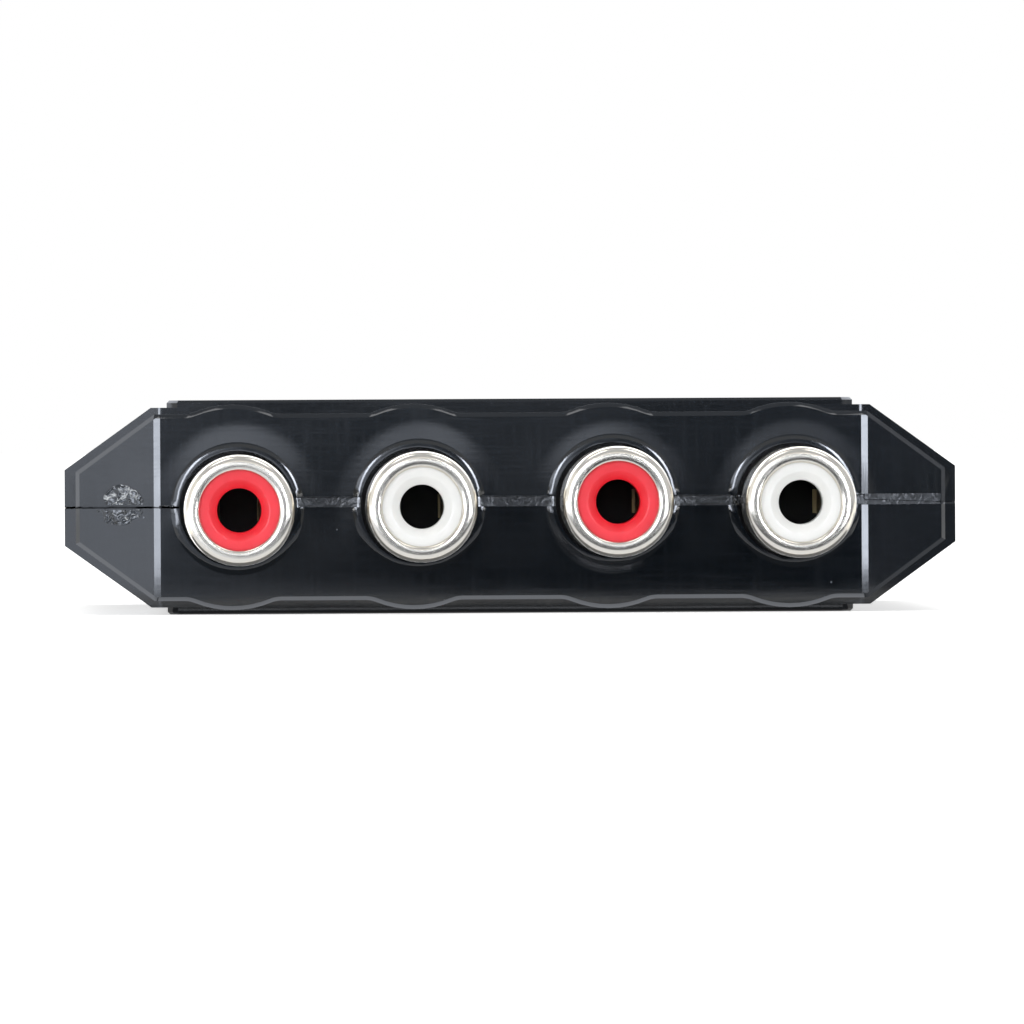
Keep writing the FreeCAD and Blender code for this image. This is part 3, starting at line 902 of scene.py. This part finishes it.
@dataclass
class MeltedSpot:
    """A rough lump of plastic where the wing's seam was melted shut."""

    name: str
    low_x: float
    high_x: float
    edge_z: float
    reach: float
    wing_y: float
    wing_slope: float
    crease: float
    thickness: float = 0.13 * MM
    relief: float = 0.208 * MM
    lump_size: float = 0.8 * MM
    swirl_size: float = 1.3 * MM
    swirl_reach: float = 0.44 * MM
    # noise of this height stays level with the lump's skin
    level: float = 0.68
    finer: float = 2.1
    fineness: int = 6
    smooth_angle: float = math.radians(60)

    def build(self, finish: Material) -> None:
        """Models the lump as half of a flattened ball that has run and set.

        Args:
            finish: the melted plastic's material.
        """
        middle = Vector(((self.low_x + self.high_x) / 2, 0, self.edge_z))
        middle.y = self.wing_y + (self.crease - middle.x) * math.tan(self.wing_slope)
        deselect_all()
        bpy.ops.mesh.primitive_ico_sphere_add(subdivisions=self.fineness, radius=0.5,
                                              location=middle,
                                              rotation=(0, 0, -self.wing_slope))
        piece = bpy.context.object
        piece.name = self.name
        piece.scale = (self.high_x - self.low_x, 2 * self.thickness, 2 * abs(self.reach))
        settle(piece)
        outward = Vector((-math.sin(self.wing_slope), -math.cos(self.wing_slope), 0))
        for point in piece.data.vertices:
            place = point.co / self.lump_size
            ridge = 1 - abs(noise.noise(place)) - abs(noise.noise(place * self.finer)) / 2
            swirl = noise.noise_vector(point.co / self.swirl_size)
            point.co += outward * (ridge - self.level) * self.relief
            point.co += Vector((swirl.x, 0, swirl.z)) * self.swirl_reach
        edit(piece)
        bpy.ops.mesh.bisect(plane_co=middle, plane_no=(0, 0, math.copysign(1, self.reach)),
                            use_fill=True, clear_inner=True, threshold=0.1 * MERGE_DISTANCE)
        bpy.ops.mesh.select_all(action="SELECT")
        bpy.ops.mesh.normals_make_consistent(inside=False)
        leave_edit()
        smooth(piece, self.smooth_angle)
        hand_over(piece, finish, "case_plastic")


@dataclass
class SeamFlash:
    """A thin ragged skin of plastic that was pressed out of the seam."""

    name: str
    low_x: float
    high_x: float
    level: float
    height: float
    front: float
    stand_out: float = 0.16 * MM
    edge_round: float = 0.02 * MM
    tear_size: float = 0.25 * MM
    curl: float = 0.7
    curl_tear_size: float = 0.25 * MM / 1.7
    cuts: tuple[int, int] = (5, 2)
    smooth_angle: float = math.radians(50)

    def build(self, finish: Material) -> None:
        """Models the skin as a flat bar, cut finely and torn.

        Args:
            finish: the case's material.
        """
        start = self.front - self.stand_out
        piece = plate(self.name, (self.low_x, start, self.level),
                      (self.high_x, start + 3 * self.stand_out, self.level + self.height),
                      self.edge_round)
        edit(piece, Element.FACES)
        for cuts in self.cuts:
            bpy.ops.mesh.subdivide(number_cuts=cuts)
        leave_edit()
        for point in piece.data.vertices:
            tear = noise.noise(point.co / self.tear_size)
            curl = self.curl * noise.noise(point.co / self.curl_tear_size)
            point.co += Vector((0, tear, curl)) * self.stand_out
        smooth(piece, self.smooth_angle)
        hand_over(piece, finish, "case_plastic")


@dataclass
class PhonoJack:
    """One jack: a sleeve with a rolled lip and tabs, and its insert."""

    number: int
    channel: Channel
    wall: float = 0.4 * MM
    lip_radius: float = 0.7 * MM
    opening_radius: float = 2.95 * MM
    opening_round: float = 0.36 * MM
    hole_radius: float = 1.65 * MM
    sink_radius: float = 2.25 * MM
    insert_round: float = 0.09 * MM
    tab_thickness: float = 0.26 * MM
    stake_width: float = 1.6 * MM
    ground_width: float = 1.5 * MM
    ground_reach: float = 0.9 * MM
    leg_thickness: float = 0.25 * MM
    plate_edge: float = 0.04 * MM
    root: float = 1.0 * MM
    steps: int = 128
    arc_steps: int = 9
    smooth_angle: float = math.radians(40)

    def node(self, part: str) -> str:
        """Names one of the jack's nodes."""
        return f"jack_{self.number}_{part}"

    def centre(self) -> tuple[float, float]:
        """Finds the jack's line from its insert, as x and z."""
        low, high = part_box(self.node("insert"))
        return (low.x + high.x) / 2, (low.z + high.z) / 2

    def arc(self, radius: float, y: float, size: float, start: float,
            end: float) -> list[tuple[float, float]]:
        """Lays points along an arc of the section.

        Args:
            radius: the arc's centre, as its distance from the line.
            y: the arc's centre along the line.
            size: the arc's radius.
            start: the first angle in degrees, from straight ahead towards the outside.
            end: the last angle.

        Returns:
            The points as (radius, y).
        """
        turns = [math.radians(start + (end - start) * step / self.arc_steps)
                 for step in range(self.arc_steps + 1)]
        return [(radius + size * math.sin(turn), y - size * math.cos(turn)) for turn in turns]

    def tabs(self, x: float, z: float, inner: float, back: float) -> list[Object]:
        """Models the side tabs that are staked to the block, and the ground tab.

        Args:
            x: the jack's place across.
            z: the jack's height.
            inner: the sleeve's inside radius.
            back: where the sleeve ends along Y.

        Returns:
            The three plates.
        """
        _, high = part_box(self.node("shell"))
        made = []
        half = self.stake_width / 2
        for side in (-1, 1):
            near = x + side * inner
            far = near + side * self.tab_thickness
            made.append(plate("stake", (min(near, far), back - self.root, z - half),
                              (max(near, far), high.y, z + half), self.plate_edge))
        half = self.ground_width / 2
        bottom = z - inner - self.tab_thickness
        made.append(plate("ground_tab", (x - half, back - self.root, bottom),
                          (x + half, back + self.ground_reach, bottom + self.tab_thickness),
                          self.plate_edge))
        return made

    def leg(self) -> Object:
        """Models the ground tab's leg, which goes down through the board.

        Returns:
            The leg.
        """
        low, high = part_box(self.node("shell"))
        block_low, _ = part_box(self.node("body"))
        x, z = self.centre()
        half = self.ground_width / 2
        outer = (high.x - low.x) / 2
        end = block_low.y + self.ground_reach
        return plate("ground_leg", (x - half, end - self.leg_thickness, low.z),
                     (x + half, end, z - outer + self.wall), self.plate_edge)

    def sleeve_pattern(self) -> Object:
        """Models the plated sleeve with its lip and tabs.

        Returns:
            The sleeve, at this jack's place.
        """
        shell_low, shell_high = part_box(self.node("shell"))
        block_low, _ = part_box(self.node("body"))
        x, z = self.centre()
        outer = (shell_high.x - shell_low.x) / 2
        front = shell_low.y
        inner = outer - self.wall
        profile = self.arc(self.opening_radius + self.opening_round, front + self.opening_round,
                           self.opening_round, -90, 0)
        profile += self.arc(outer - self.lip_radius, front + self.lip_radius, self.lip_radius,
                            0, 90)
        profile += [(outer, block_low.y), (inner, block_low.y), (inner, front + self.wall),
                    (self.opening_radius, front + self.wall)]
        piece = turned_ring("sleeve_pattern", x, z, profile, self.steps)
        join_to(piece, self.tabs(x, z, inner, block_low.y))
        return piece

    def insert_pattern(self) -> Object:
        """Models the coloured ring with its countersunk hole.

        Returns:
            The ring, at this jack's place.
        """
        low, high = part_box(self.node("insert"))
        x, z = self.centre()
        outer = (high.x - low.x) / 2
        sink = self.sink_radius - self.hole_radius
        profile = [
            (outer, low.y), (outer, high.y), (self.hole_radius, high.y),
            (self.hole_radius, low.y + sink), (self.sink_radius, low.y),
        ]
        piece = turned_ring("insert_pattern", x, z, profile, self.steps)
        bevel_edges(piece, self.insert_round, 4)
        return piece

    def build(self, first: "PhonoJack", sleeve: Object, ring: Object, plating: Material,
              plastic: Material) -> None:
        """Copies the sleeve and the insert to this jack's place and dresses them.

        Args:
            first: the jack at which the two were modelled.
            sleeve: its sleeve.
            ring: its insert.
            plating: the sleeve's material.
            plastic: the insert's material.
        """
        x, z = self.centre()
        first_x, first_z = first.centre()
        shift = Vector((x - first_x, 0, z - first_z))
        piece = moved_copy(sleeve, self.node("sleeve"), shift)
        join_to(piece, [self.leg()])
        smooth(piece, self.smooth_angle)
        hand_over(piece, plating, "sleeve_nickel", self.node("shell"))
        piece = moved_copy(ring, self.node("ring"), shift)
        smooth(piece)
        hand_over(piece, plastic, self.channel.value, self.node("insert"))


@dataclass
class InnerFinishes:
    """The materials of the pieces inside the case, by a word in a node's name."""

    def by_word(self) -> dict[str, Material]:
        """Makes each inner finish.

        Returns:
            A material for each word.
        """
        brass = PlainMetal("tarnished_brass_spring", "#b5a885", 0.34, 0.04 * MM,
                           (1.0, 20.0, 1.0))
        tin = PlainMetal("tinned_pin", "#cfcfca", 0.35, 0.05 * MM, (1.0, 1.0, 12.0))
        # laminations of 0.35 mm lie one behind another along Y
        steel = PlainMetal("varnished_lamination_steel", "#7c7f82", 0.42, 0.35 * MM,
                           (30.0, 1.0, 30.0))
        block = PlainPolymer("black_pbt_block", "#0b0c0e", "#101114", 0.5, 0.1 * MM, 0.006 * MM)
        board = PlainPolymer("green_solder_mask", "#0d4a26", "#0a3d20", 0.3, 0.25 * MM,
                             0.01 * MM)
        bobbin = PlainPolymer("black_nylon_bobbin", "#1a1a1c", "#232326", 0.5, 0.12 * MM,
                              0.01 * MM)
        tape = PlainPolymer("yellow_polyester_tape", "#d8a520", "#c48f16", 0.28, 0.3 * MM,
                            0.02 * MM)
        ceramic = PlainPolymer("glazed_chip_resistor", "#141417", "#1d1d20", 0.25, 0.1 * MM,
                               0.004 * MM)
        rubber = PlainPolymer("black_rubber_grommet", "#121212", "#1a1a1a", 0.62, 0.14 * MM,
                              0.012 * MM)
        return {
            "contact": brass.build(), "pins": tin.build(), "core": steel.build(),
            "body": block.build(), "board": board.build(), "bobbin": bobbin.build(),
            "winding": tape.build(), "resistor": ceramic.build(), "grommet": rubber.build(),
        }

    def dress(self) -> None:
        """Gives every inner node its material."""
        finishes = self.by_word()
        for name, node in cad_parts.items():
            for word, finish in finishes.items():
                if word in name.split("_"):
                    node.data.materials.clear()
                    node.data.materials.append(finish)
                    log.info("%s: %s", name, finish.name)


@dataclass(frozen=True)
class Card:
    """A flat card that only reflections see, between its lowest and its highest corner.

    Its glow is even, where 1 is as bright as white paper, or it changes across the directions
    that the nose's parts mirror, as the stops say, and from the card's start to its end, as the
    steps say.
    """

    name: str
    low: Place
    high: Place
    glow: float = 1.0
    stops: Pairs = ()
    steps: Pairs = ()


CARDS = (
    # ahead of the nose: the wings, the creases and the upper face mirror it
    Card("front_card", (-0.5, -0.6, 0), (0.5, -0.6, 0.26), stops=(
        (-0.8, 2.1), (-0.46, 2.2), (-0.42, 13.0), (-0.33, 13.0), (-0.28, 1.6), (-0.06, 0.34),
        (-0.03, 0.28), (0.02, 0.42), (0.06, 0.36), (0.09, 0.16), (0.12, 0.26), (0.28, 0.08),
        (0.33, 15.5), (0.43, 15.5), (0.48, 0.25), (0.8, 0.25),
    ), steps=((0.0, 0.6), (0.03, 1.0), (0.045, 1.4), (0.14, 1.4), (0.18, 2.2), (0.26, 2.2))),
    # a little higher: the swellings above the jacks mirror it
    Card("dome_card", (-0.12, -0.598, 0.045), (0.14, -0.598, 0.13), stops=(
        (-0.2, 3.0), (-0.06, 2.7), (-0.03, 2.0), (0.02, 2.6), (0.06, 2.1), (0.09, 1.0),
        (0.12, 1.3), (0.22, 1.0),
    ), steps=((0.045, 0.1), (0.062, 1.0), (0.105, 1.0), (0.13, 0.2))),
    # on the floor: the lower half of the nose mirrors these
    Card("floor_card", (-0.5, -0.6, 0.0004), (0.5, -0.058, 0.0004), stops=(
        (-0.8, 2.5), (-0.46, 2.7), (-0.42, 13.0), (-0.33, 13.0), (-0.28, 1.4), (-0.06, 0.3),
        (0.06, 0.2), (0.28, 0.08), (0.33, 18.0), (0.43, 18.0), (0.48, 0.3), (0.8, 0.25),
    ), steps=((-0.6, 1.0), (-0.058, 1.0))),
    Card("face_card", (-0.042, -0.3, 0.0006), (0.046, -0.057, 0.0006), stops=(
        (-0.4, 2.6), (-0.28, 2.3), (-0.06, 0.45), (0.06, 0.32), (0.28, 0.16), (0.4, 0.16),
    ), steps=(
        (-0.3, 0.15), (-0.168, 0.15), (-0.154, 1.5), (-0.142, 1.5), (-0.126, 0.2),
        (-0.078, 0.2), (-0.07, 0.6), (-0.058, 0.4),
    )),
    Card("under_lip_card", (-0.035, -0.057, 0.0006), (0.035, -0.0495, 0.0006), 1.1),
    Card("foot_card", (-0.035, -0.0492, 0.0001), (0.035, -0.034, 0.0001), 0.2),
    Card("overhead_card", (-0.6, -0.55, 0.46), (0.6, 0.5, 0.46), 0.6),
    Card("right_card", (0.55, -0.6, 0), (0.55, 0.0, 0.4), 0.75),
    # behind, beside and under the nose: the edges of its rim mirror these
    Card("back_top_card", (-0.45, 0.1, 0.3), (0.45, 0.39, 0.3), 3.6),
    Card("back_left_card", (-0.35, 0.107, 0.001), (-0.35, 0.41, 0.3), 3.6),
    Card("back_right_card", (0.35, 0.107, 0.001), (0.35, 0.41, 0.3), 2.2),
    Card("under_card", (-0.0268, -0.0385, 0.0002), (0.0268, -0.0371, 0.0002), 2.7),
    Card("left_low_card", (-0.06, -0.0405, 0.0003), (-0.0269, 0.0, 0.0003), 2.6),
    Card("left_rim_card", (-0.35, 0.0, 0.001), (-0.35, 0.106, 0.42), 2.6),
    Card("right_low_card", (0.0269, -0.0405, 0.0003), (0.06, 0.0, 0.0003), 0.7),
    Card("right_rim_card", (0.35, 0.0, 0.001), (0.35, 0.106, 0.42), 0.7),
)


@dataclass
class Studio:
    """The pale floor, the soft lamps, the cards that shape reflections, and the camera."""

    nose_front: float
    split: float
    camera_distance: float = 1.2
    frame_width: float = 76.8 * MM
    camera_side: float = -25 * MM
    camera_rise: float = 6.3 * MM
    aim_x: float = 0.06 * MM
    aim_drop: float = 0.455 * MM
    roll: float = math.radians(0.3)
    sensor: float = 36.0
    clip_near: float = 0.01
    clip_far: float = 50.0
    fan_root: float = 32 * MM
    fan_tint: str = "#ebf2ff"
    even_tint: str = "#f3f7ff"
    even_light: float = 0.85
    paper_lift: float = 0.6
    floor_radius: float = 8.0
    fibre_size: float = 0.8 * MM

    def camera(self) -> None:
        """Places the camera level with the jacks, a little to the left."""
        target = Vector((self.aim_x, self.nose_front, self.split - self.aim_drop))
        place = Vector((self.camera_side, self.nose_front - self.camera_distance,
                        target.z + self.camera_rise))
        data = bpy.data.cameras.new("camera")
        data.sensor_width = self.sensor
        data.lens = self.sensor * (target - place).length / self.frame_width
        data.clip_start = self.clip_near
        data.clip_end = self.clip_far
        made = bpy.data.objects.new("camera", data)
        bpy.context.scene.collection.objects.link(made)
        made.rotation_mode = "QUATERNION"
        made.location = place
        turn = (target - place).to_track_quat("-Z", "Y")
        made.rotation_quaternion = turn @ Quaternion((0, 0, 1), -self.roll)
        bpy.context.scene.camera = made

    def background_rays(self, tree: NodeTree) -> Node:
        """Marks the rays that see the background: camera, glossy and transmission rays.

        Args:
            tree: the node tree of the world or the floor.

        Returns:
            1 for such a ray and 0 for any other.
        """
        path = add_node(tree, "LightPath").outputs
        seen = add_node(tree, "Math", {0: path["Is Camera Ray"], 1: path["Is Glossy Ray"]},
                        operation="MAXIMUM")
        return add_node(tree, "Math", {0: seen, 1: path["Is Transmission Ray"]},
                        operation="MAXIMUM")

    def world(self) -> None:
        """Lights everything evenly, before a white background."""
        made = bpy.data.worlds.new("studio")
        bpy.context.scene.world = made
        made.use_nodes = True
        tree = made.node_tree
        tree.nodes.clear()
        strength = add_node(tree, "MapRange", {"Value": self.background_rays(tree),
                                               "To Min": self.even_light, "To Max": 1.0})
        back = add_node(tree, "Background", {"Color": (1, 1, 1, 1), "Strength": strength})
        add_node(tree, "OutputWorld", {"Surface": back})

    def floor(self) -> None:
        """Lays a white paper floor that keeps the object's shadow."""
        deselect_all()
        bpy.ops.mesh.primitive_circle_add(vertices=64, radius=self.floor_radius,
                                          fill_type="NGON")
        piece = bpy.context.object
        piece.name = "floor"
        material, tree, places = new_material("white_paper_floor")
        fibre = add_node(tree, "TexNoise", {"Vector": places, "Scale": 1 / self.fibre_size,
                                            "Detail": 2.0})
        tone = add_node(tree, "Mix", {0: fibre, 6: linear("#ececeb"), 7: linear("#f2f2f1")},
                        data_type="RGBA")
        paper = add_node(tree, "BsdfDiffuse", {"Color": tone.outputs[2]})
        lift = add_node(tree, "Emission", {"Color": (1, 1, 1, 1), "Strength": self.paper_lift})
        lifted = add_node(tree, "AddShader", {0: paper, 1: lift})
        mixed = add_node(tree, "MixShader", {0: self.background_rays(tree), 1: paper,
                                             2: lifted})
        add_node(tree, "OutputMaterial", {"Surface": mixed})
        piece.data.materials.append(material)

    def ramp(self, tree: NodeTree, value: Node | NodeSocket, stops: Pairs) -> Node:
        """Turns a value into a glow by way of several stops.

        Args:
            tree: the material's node tree.
            value: the value.
            stops: for several values, in order, the glow of each.

        Returns:
            The glow.
        """
        first, last = stops[0][0], stops[-1][0]
        peak = max(level for _, level in stops)
        share = add_node(tree, "MapRange", {"Value": value, "From Min": first,
                                            "From Max": last})
        made = add_node(tree, "ValToRGB", {0: share})
        points = made.color_ramp.elements
        points[0].color = (stops[0][1] / peak,) * 3 + (1,)
        points[1].color = (stops[-1][1] / peak,) * 3 + (1,)
        for place, level in stops[1:-1]:
            point = points.new((place - first) / (last - first))
            point.color = (level / peak,) * 3 + (1,)
        return add_node(tree, "Math", {0: made, 1: peak}, operation="MULTIPLY")

    def glow(self, card: Card) -> Material:
        """Makes a card's glow.

        Args:
            card: the card.

        Returns:
            Its material.
        """
        material, tree, places = new_material(card.name + "_glow")
        level, tint = card.glow, self.even_tint
        if card.stops:
            parts = add_node(tree, "SeparateXYZ", {0: places}).outputs
            ahead = add_node(tree, "Math", {0: self.fan_root, 1: parts[1]},
                             operation="SUBTRACT")
            way = add_node(tree, "Math", {0: parts[0], 1: ahead}, operation="DIVIDE")
            lies_flat = card.low[2] == card.high[2]
            across = self.ramp(tree, way, card.stops)
            along = self.ramp(tree, parts[1] if lies_flat else parts[2], card.steps)
            level = add_node(tree, "Math", {0: across, 1: along}, operation="MULTIPLY")
            tint = self.fan_tint
        shader = add_node(tree, "Emission", {"Color": linear(tint), "Strength": level})
        add_node(tree, "OutputMaterial", {"Surface": shader})
        return material

    def set_card(self, card: Card) -> None:
        """Stands or lays a card.

        Args:
            card: the card.
        """
        deselect_all()
        middle = [(a + b) / 2 for a, b in zip(card.low, card.high)]
        size = [b - a for a, b in zip(card.low, card.high)]
        quarter = math.pi / 2
        turns = {0: (0, quarter, 0), 1: (quarter, 0, 0), 2: (0, 0, 0)}
        bpy.ops.mesh.primitive_plane_add(size=1, location=middle,
                                         rotation=turns[size.index(0)])
        piece = bpy.context.object
        piece.name = card.name
        settle(piece)
        edit(piece)
        bpy.ops.transform.resize(value=[length or 1 for length in size], center_override=middle)
        leave_edit()
        piece.data.materials.append(self.glow(card))
        piece.visible_camera = False
        piece.visible_diffuse = False
        piece.visible_shadow = False
        piece.visible_transmission = False

    def lamp(self, name: str, place: Place, size: tuple[float, float], glow: float) -> None:
        """Hangs a soft box that faces the nose.

        Args:
            name: the lamp's name.
            place: where it hangs.
            size: its width and height.
            glow: how bright its face is, where 1 is as bright as white paper.
        """
        data = bpy.data.lights.new(name, "AREA")
        data.shape = "RECTANGLE"
        data.size, data.size_y = size
        data.energy = WATTS_FOR_WHITE * glow * size[0] * size[1]
        made = bpy.data.objects.new(name, data)
        bpy.context.scene.collection.objects.link(made)
        made.location = place
        made.rotation_mode = "QUATERNION"
        target = Vector((0, self.nose_front, self.split))
        made.rotation_quaternion = (target - Vector(place)).to_track_quat("-Z", "Y")
        made.visible_camera = False

    def build(self) -> None:
        """Sets the whole studio up."""
        self.world()
        self.floor()
        for card in CARDS:
            self.set_card(card)
        self.lamp("left_box", (-0.52, -0.85, 0.15), (0.3, 0.36), 2.7)
        self.lamp("over_left", (-0.14, -0.1, 0.44), (0.1, 0.25), 2.2)
        self.lamp("over_right", (0.14, -0.1, 0.44), (0.1, 0.25), 2.2)
        self.camera()
        bpy.context.scene.view_settings.view_transform = "Standard"
        log.info("studio: %d cards", len(CARDS))


@dataclass
class Converter:
    """The whole object: the case, its four jacks and what the case holds."""

    split: float = 8.05 * MM
    nose_front: float = -38 * MM
    crease: float = -26.55 * MM
    wing_slope: float = math.radians(15)
    lip_start: float = -20.9 * MM
    lip_end: float = 32.3 * MM
    flash_drop: float = 0.02 * MM
    jack_count: int = 4
    worn_jack: int = 3
    worn_left: float = 0.1 * MM
    worn_down: float = 0.15 * MM

    def case(self) -> None:
        """Builds the two halves and the marks of the joint between them."""
        worn_x, worn_z = PhonoJack(self.worn_jack, Channel.RIGHT).centre()
        finish = MouldedCasePlastic(
            self.split, self.nose_front, self.crease, self.wing_slope, self.lip_start,
            self.lip_end, worn_x - self.worn_left, worn_z - self.worn_down,
        ).build()
        for node in ("upper_case", "lower_case"):
            CaseHalf(node, self.split, self.nose_front).build(finish)
        melted = MeltedPlastic().build()
        for name, low_x, high_x, edge_z, reach in (
            ("melt_above", -30.5 * MM, -27.5 * MM, 8.3 * MM, 1.5 * MM),
            ("melt_below", -31.2 * MM, -27.6 * MM, 7.92 * MM, -1.2 * MM),
        ):
            MeltedSpot(name, low_x, high_x, edge_z, reach, self.nose_front, self.wing_slope,
                       self.crease).build(melted)
        for name, low_x, high_x, height in (
            ("flash_left", -26.4 * MM, -24.9 * MM, 0.16 * MM),
            ("flash_right", 16.6 * MM, 17.2 * MM, 0.75 * MM),
        ):
            SeamFlash(name, low_x, high_x, self.split - self.flash_drop, height,
                      self.nose_front).build(finish)

    def jacks(self) -> None:
        """Builds the four jacks, red, white, red, white from the left."""
        nickel = NickelPlate().build()
        # dyed acetal, moulded: an even colour with a soft waxy sheen
        inserts = {
            Channel.RIGHT: PlainPolymer("red_acetal_insert", "#fa2f3d", "#f42836", 0.32,
                                        0.16 * MM, 0.004 * MM, 1.48).build(),
            Channel.LEFT: PlainPolymer("white_acetal_insert", "#fafaf8", "#f5f6f4", 0.32,
                                       0.16 * MM, 0.004 * MM, 1.48).build(),
        }
        first = PhonoJack(1, Channel.RIGHT)
        sleeve = first.sleeve_pattern()
        ring = first.insert_pattern()
        for number in range(1, self.jack_count + 1):
            channel = Channel.RIGHT if number % 2 else Channel.LEFT
            PhonoJack(number, channel).build(first, sleeve, ring, nickel, inserts[channel])
        for pattern in (sleeve, ring):
            bpy.data.objects.remove(pattern)

    def build(self) -> None:
        """Builds and dresses everything."""
        self.case()
        self.jacks()
        InnerFinishes().dress()


def main() -> None:
    """Builds the converter and the studio."""
    noise.seed_set(NOISE_SEED)
    converter = Converter()
    converter.build()
    Studio(converter.nose_front, converter.split).build()


if __name__ == "__main__":
    logging.basicConfig(level=logging.INFO, format="%(message)s")
    main()
